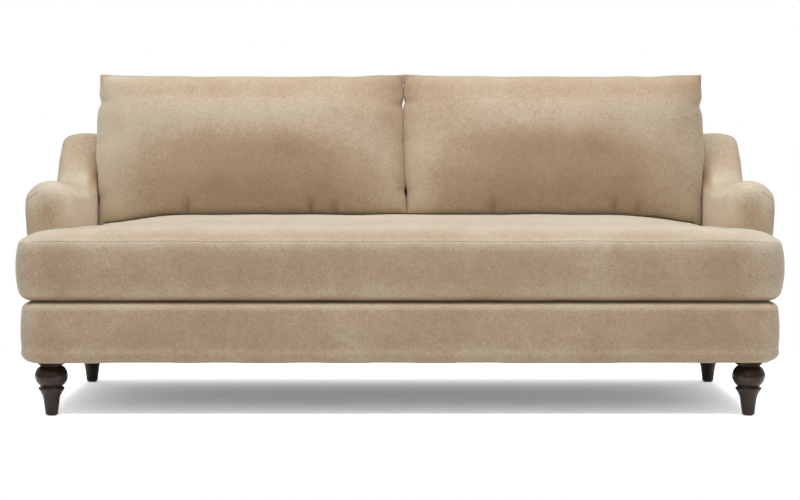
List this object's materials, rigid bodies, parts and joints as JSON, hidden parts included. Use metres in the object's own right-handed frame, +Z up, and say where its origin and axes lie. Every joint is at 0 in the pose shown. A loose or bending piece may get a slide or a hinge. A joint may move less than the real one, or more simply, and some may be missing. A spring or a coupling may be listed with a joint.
{
  "type": "sofa",
  "caption": "Velvet sofa with a T-shaped bench seat cushion, loose back cushions, low set-back rolled arms that sweep up to the back, padded base and turned wooden legs.",
  "frame": {"origin": "on the floor, midway between the arms and midway from the seat front to the rear of the back", "axes": "+X to the right as seen from the front, the front faces -Y, +Z up"},
  "size_m": [2.134, 0.9651, 0.968],
  "materials": {
    "velvet": "satin",
    "foam": "matte",
    "fill": "matte",
    "webbing": "matte",
    "burlap": "matte",
    "deck_cloth": "matte",
    "dust_cover": "matte",
    "zip_tape": "matte",
    "zip_metal": "satin",
    "frame_wood": "matte",
    "plywood": "matte",
    "leg_wood": "satin",
    "spring_steel": "satin",
    "fastener_steel": "satin",
    "glide_plastic": "matte"
  },
  "bodies": {
    "frame": {"front_rail": "frame_wood", "back_rail": "frame_wood", "left_side_rail": "frame_wood", "right_side_rail": "frame_wood", "cross_rails": "frame_wood", "corner_blocks": "frame_wood", "left_arm_inner_board": "plywood", "right_arm_inner_board": "plywood", "left_arm_outer_board": "plywood", "right_arm_outer_board": "plywood", "left_arm_blocks": "frame_wood", "right_arm_blocks": "frame_wood", "back_top_rail": "frame_wood", "back_uprights": "frame_wood", "back_webbing": "webbing", "seat_springs": "spring_steel", "spring_clips": "spring_steel", "spring_tie_wires": "spring_steel", "burlap_sheet": "burlap", "deck_pad": "foam", "deck_cloth": "deck_cloth", "front_border_foam": "foam", "front_border_cover": "velvet", "left_arm_foam": "foam", "right_arm_foam": "foam", "left_arm_cover": "velvet", "right_arm_cover": "velvet", "left_outside_arm": "velvet", "right_outside_arm": "velvet", "back_foam": "foam", "back_cover": "velvet", "outside_back": "velvet", "dust_cover": "dust_cover", "front_left_leg": "leg_wood", "front_right_leg": "leg_wood", "rear_left_leg": "leg_wood", "rear_right_leg": "leg_wood", "leg_bolts": "fastener_steel", "leg_tee_nuts": "fastener_steel", "leg_glides": "glide_plastic"},
    "seat_cushion": {"seat_cushion_cover": "velvet", "seat_cushion_core": "foam", "seat_cushion_zip": "zip_tape"},
    "seat_zip_slider": {"seat_zip_slider": "zip_metal"},
    "left_back_cushion": {"left_back_cushion_cover": "velvet", "left_back_cushion_fill": "fill", "left_back_cushion_zip": "zip_tape"},
    "right_back_cushion": {"right_back_cushion_cover": "velvet", "right_back_cushion_fill": "fill", "right_back_cushion_zip": "zip_tape"},
    "left_back_zip_slider": {"left_back_zip_slider": "zip_metal"},
    "right_back_zip_slider": {"right_back_zip_slider": "zip_metal"}
  },
  "joints": [
    {"name": "seat_cushion_slide", "type": "slide", "parent": "frame", "child": "seat_cushion", "axis": [0, -1, 0], "range_m": [0, 0.78]},
    {"name": "left_back_cushion_lift", "type": "slide", "parent": "frame", "child": "left_back_cushion", "axis": [0, 0, 1], "range_m": [0, 0.45]},
    {"name": "right_back_cushion_lift", "type": "slide", "parent": "frame", "child": "right_back_cushion", "axis": [0, 0, 1], "range_m": [0, 0.45]},
    {"name": "seat_zip_run", "type": "slide", "parent": "seat_cushion", "child": "seat_zip_slider", "axis": [1, 0, 0], "range_m": [0, 1.388]},
    {"name": "left_back_zip_run", "type": "slide", "parent": "left_back_cushion", "child": "left_back_zip_slider", "axis": [-1, 0, 0], "range_m": [0, 0.688]},
    {"name": "right_back_zip_run", "type": "slide", "parent": "right_back_cushion", "child": "right_back_zip_slider", "axis": [1, 0, 0], "range_m": [0, 0.688]}
  ]
}
